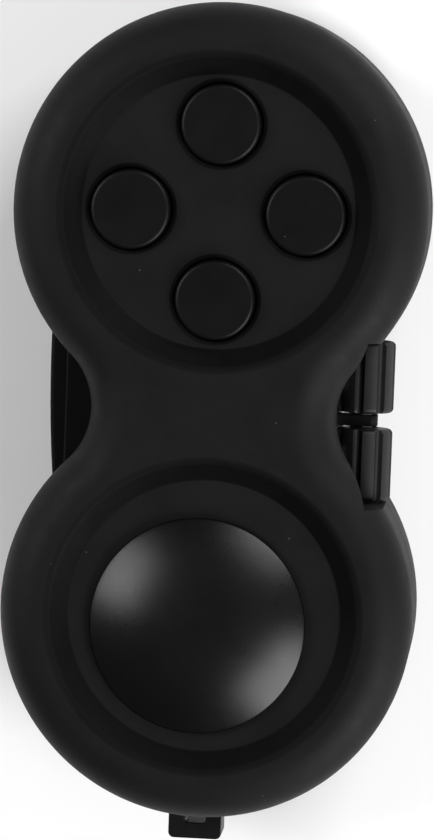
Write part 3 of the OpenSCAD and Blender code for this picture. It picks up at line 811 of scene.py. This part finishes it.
def switch_housing():
    """The bezel that the rocker tilts in."""
    low, high = box_mm("switch_housing")
    half_y, open_y, open_z, open_x = high.y, 8.7, 3.45, -9.7
    outer_z = 4.4
    outer = block((low.x, -half_y, SPLIT_Z - outer_z), (high.x, half_y, SPLIT_Z + outer_z))
    opening = block((low.x - 1, -open_y, SPLIT_Z - open_z), (open_x, open_y, SPLIT_Z + open_z))
    bezel = soften(cut(outer, opening), 0.22, 3)
    flange_z = 5.4
    flange = block((high.x - 1.6, -half_y, SPLIT_Z - flange_z),
                   (high.x - 0.001, half_y, SPLIT_Z + flange_z))
    bezel = join(bezel, flange)
    # cut again through the flange, a hair smaller so that no faces coincide
    bezel = cut(bezel, block((-12, -8.69, SPLIT_Z - 3.44), (-9.71, 8.69, SPLIT_Z + 3.44)))
    posts = []
    for side in (1, -1):
        y = sorted((side * 5.4, side * 7))
        posts.append(block((-10.94, y[0], SPLIT_Z - 3.5), (-9.6, y[1], SPLIT_Z + 3.5)))
        y = sorted((side * 7.6, side * 8.8))
        posts.append(block((-13.25, y[0], SPLIT_Z - 3.5), (-9.6, y[1], SPLIT_Z + 3.5)))
    return cut(merged([bezel, *posts]), column(0.77, SPLIT_Z - 4.35, SPLIT_Z + 4.35, (PIVOT_X, 0), 48))


# --- lanyard loop, dial and screws ---


def lanyard_loop():
    """The loop, with the flange that holds it behind the case's end wall."""
    low, high = LOOP_LOW, LOOP_HIGH
    x0, x1, bar_w = low.x + LOOP_FLANGE, high.x - LOOP_FLANGE, 1.7
    inside_y = high.y - 1
    bar = prism(rounded([(x0, inside_y), (x0, low.y), (x1, low.y), (x1, inside_y)],
                        [0, 0.6, 0.6, 0]), SPLIT_Z - 2.2, SPLIT_Z + 2.2, along_z)
    slot_low, slot_high = (x0 + bar_w, low.y + bar_w), (x1 - bar_w, 0.5 - LOBE_Y - LOBE_R)
    slot = prism(rounded_box(slot_low, slot_high, 0.35), 0, BIG, along_z)
    loop = soften(cut(bar, slot), 0.22, 4)
    flange = block((low.x, inside_y - 0.01, SPLIT_Z - 3.2), (high.x, high.y, SPLIT_Z + 3.2), 0.3)
    return join(loop, flange)


def spin_dial():
    """The dial behind the buttons: a flat disc with a finger dimple and a sunk screw."""
    low, high = box_mm("spin_dial")
    centre = (0, LOBE_Y)
    radius = (high.x - low.x) / 2
    bore_r, sink_r, sink_z, ring_z = 2.25, 3.8, low.z + 1.35, low.z + 0.25
    corners = [
        (bore_r, sink_z), (sink_r, sink_z), (sink_r, low.z), (radius - 1.9, low.z),
        (radius - 1.6, ring_z), (radius - 1.1, ring_z), (radius - 0.8, low.z), (radius, low.z),
        (radius, high.z), (bore_r, high.z), (bore_r, sink_z),
    ]
    disc = turned(rounded(corners, [0, 0.1, 0.2, 0.1, 0.08, 0.08, 0.1, 0.45, 0.2, 0, 0], 5), centre, 160)
    sphere_r, depth, at = 7.0, 1.1, LOBE_Y + 7.9
    mouth = math.sqrt(sphere_r**2 - (sphere_r - depth) ** 2)
    bowl = [(mouth + 0.6, low.z - 1), (mouth + 0.5, low.z - 0.001), (mouth + 0.22, low.z + 0.04)]
    for i in range(17):
        r = (mouth - 0.1) * (1 - i / 16)
        bowl.append((r, low.z + depth - sphere_r + math.sqrt(sphere_r**2 - r**2)))
    dimple = turned([(0, low.z - 1)] + bowl, (0, at), 96)
    return cut(disc, dimple)


def screw(shank_r, head_r, head_z, head_h, tip_z, centre):
    """A pan-head screw that points up, with a cross recess and ringed thread."""
    corners = [(0, head_z), (head_r, head_z), (head_r, head_z + head_h), (shank_r, head_z + head_h)]
    profile = rounded(corners, [0, head_h * 0.45, 0, 0], 6)
    pitch = shank_r * 0.42
    z = head_z + head_h + pitch
    while z < tip_z - 1.2 * shank_r:
        profile += [(shank_r, z), (shank_r * 0.8, z + pitch * 0.35), (shank_r * 0.8, z + pitch * 0.65)]
        z += pitch
    profile += [(shank_r, z), (shank_r * 0.25, tip_z), (0, tip_z)]
    body = turned(profile, centre, 48)
    arm, half = head_r * 0.58, head_r * 0.13
    cross = []
    for quarter in (0, 1):
        slot = prism([
            (-arm, 0), (-arm * 0.45, head_h * 0.7), (arm * 0.45, head_h * 0.7),
            (arm, 0), (arm, -1), (-arm, -1),
        ], -half, half, along_y)
        turn = Matrix.Rotation(quarter * math.pi / 2, 4, "Z")
        slot.transform(Matrix.Translation((*centre, head_z)) @ turn)
        cross.append(slot)
    return cut(body, *cross)


def dial_screw():
    low, high = box_mm("dial_screw")
    centre = (0, LOBE_Y)
    shoulder_r = 2.2
    head = screw(0.8, 3.6, low.z, 1.15, high.z, centre)
    return join(head, column(shoulder_r, low.z + 1.0, DIAL_RECESS_DEPTH, centre, 64))


def paint_band_shade(shell):
    """Paints shade on the slope round each recess: a slightly smoother black whose reflection is cut
    more the steeper the face is.
    """
    for face in shell.faces:
        at = face.calc_center_median()
        r = math.hypot(at.x, abs(at.y) - LOBE_Y)
        if RECESS_FLOOR_R - 0.15 < r < RECESS_RIM_R + 0.6 and at.z > FLOOR_Z + 0.005:
            face.normal_update()
            slope = math.degrees(math.acos(min(1.0, abs(face.normal.z))))
            face.material_index = sum(slope > step for step in SHADE_STEP_SLOPES)


def make_object():
    shell = front_case()
    paint_band_shade(shell)
    front = piece("front_case", shell, SOFT_TOUCH, "case", ["front_shell"])
    # the recess slopes take the darker copies that paint shade on them
    for shade_step in BAND_SHADE_PLASTICS:
        front.data.materials.append(shade_step)
    piece("back_case", back_case(), SOFT_TOUCH, "case", ["back_shell"])
    for node in BUTTONS:
        piece("click_" + node, button(node), BUTTON_PLASTIC, node + "_body", [node])
    piece("stick_cap", joystick_cap(), CAP_PLASTIC, "stick", ["joystick_cap"])
    for node in ("roller_upper", "roller_lower"):
        piece("fluted_" + node, roller(node), ROLLER_PLASTIC, node + "_body", [node])
    piece("rocker_key", rocker(), SWITCH_PLASTIC, "rocker_body", ["rocker"])
    piece("rocker_bezel", switch_housing(), SWITCH_PLASTIC, "case", ["switch_housing"])
    piece("lanyard_bar", lanyard_loop(), SATIN, "case", ["lanyard_loop"])
    piece("thumb_dial", spin_dial(), CAP_PLASTIC, "dial_body", ["spin_dial"])
    piece("dial_shoulder_screw", dial_screw(), BLACK_STEEL, "case", ["dial_screw"])
    heads = [screw(0.95, 1.55, 1.4, 1.3, 17, at) for at in CASE_SCREWS]
    piece("closing_screws", merged(heads), BLACK_STEEL, "case", ["case_screws"])


INNER_LOOKS = {"inner_plastic": INNER, "rubber": RUBBER, "steel": STEEL}


def dress_inner_nodes():
    """Gives the CAD pieces inside the case their materials."""
    slots = {part["node"]: part["material_slot"] for part in frame["record"]["subparts"]}
    for node, obj in frame["nodes"].items():
        if slots[node] in INNER_LOOKS:
            obj.data.materials.clear()
            obj.data.materials.append(INNER_LOOKS[slots[node]])


# --- stage ---

SENSOR = 36.0
LENS = 172.16
FLOOR_R = 3000
FLOOR_WHITE = 0.93
WORLD_STRENGTH = 0.12
CAMERA = Vector((0.0335, 0.034, 0.431))
AIM = Vector((-0.0001, -0.0013, SPLIT_Z * MM))
ROLL = math.radians(2.5)


def make_camera():
    """The camera looks nearly straight down at the pad's middle height."""
    data = bpy.data.cameras.new("camera")
    camera = bpy.data.objects.new("camera", data)
    bpy.context.scene.collection.objects.link(camera)
    back = (CAMERA - AIM).normalized()
    level = Vector((math.cos(ROLL), math.sin(ROLL), 0))
    right = (level - back * level.dot(back)).normalized()
    camera.matrix_world = Matrix((right, back.cross(right), back)).transposed().to_4x4()
    camera.matrix_world.translation = CAMERA
    data.sensor_width = SENSOR
    data.lens = LENS
    data.clip_start = 0.01
    bpy.context.scene.camera = camera


def softbox(name, azimuth, tilt, reach, size, power):
    """A square area light that faces the pad; azimuth is from +X, tilt from straight up."""
    data = bpy.data.lights.new(name, "AREA")
    data.shape = "RECTANGLE"
    data.size, data.size_y = size
    data.energy = power
    light = bpy.data.objects.new(name, data)
    a, t = math.radians(azimuth), math.radians(tilt)
    way = Vector((math.sin(t) * math.cos(a), math.sin(t) * math.sin(a), math.cos(t)))
    light.location = way * reach
    light.rotation_euler = way.to_track_quat("Z", "Y").to_euler()
    bpy.context.scene.collection.objects.link(light)


def make_stage():
    skin = Skin()
    skin.fill(skin.ring(flat_ring(circle((0, 0), FLOOR_R, 64), 0)))
    bmesh.ops.scale(skin.bm, vec=(MM, MM, MM), verts=skin.bm.verts)
    floor = loose(skin.bm, "floor")
    material, _, _, shader = new_material("pale_floor")
    shader.inputs["Base Color"].default_value = (FLOOR_WHITE, FLOOR_WHITE, FLOOR_WHITE, 1)
    shader.inputs["Roughness"].default_value = 0.9
    shader.inputs["Specular IOR Level"].default_value = 0.1
    floor.data.materials.append(material)
    world = bpy.data.worlds.new("studio")
    world.use_nodes = True
    world.node_tree.nodes["Background"].inputs["Color"].default_value = (1, 1, 1, 1)
    world.node_tree.nodes["Background"].inputs["Strength"].default_value = WORLD_STRENGTH
    bpy.context.scene.world = world
    softbox("softbox_left", 160, 50, 0.7, (0.36, 0.36), 3.0)
    softbox("softbox_top", 50, 60, 0.7, (0.4, 0.5), 3.3)
    softbox("softbox_right", -41, 60, 0.7, (0.46, 0.46), 5.8)
    softbox("softbox_above", 0, 20, 0.75, (1.6, 1.6), 0.92)


make_camera()
make_object()
dress_inner_nodes()
make_stage()
bpy.context.scene.view_settings.view_transform = "Standard"
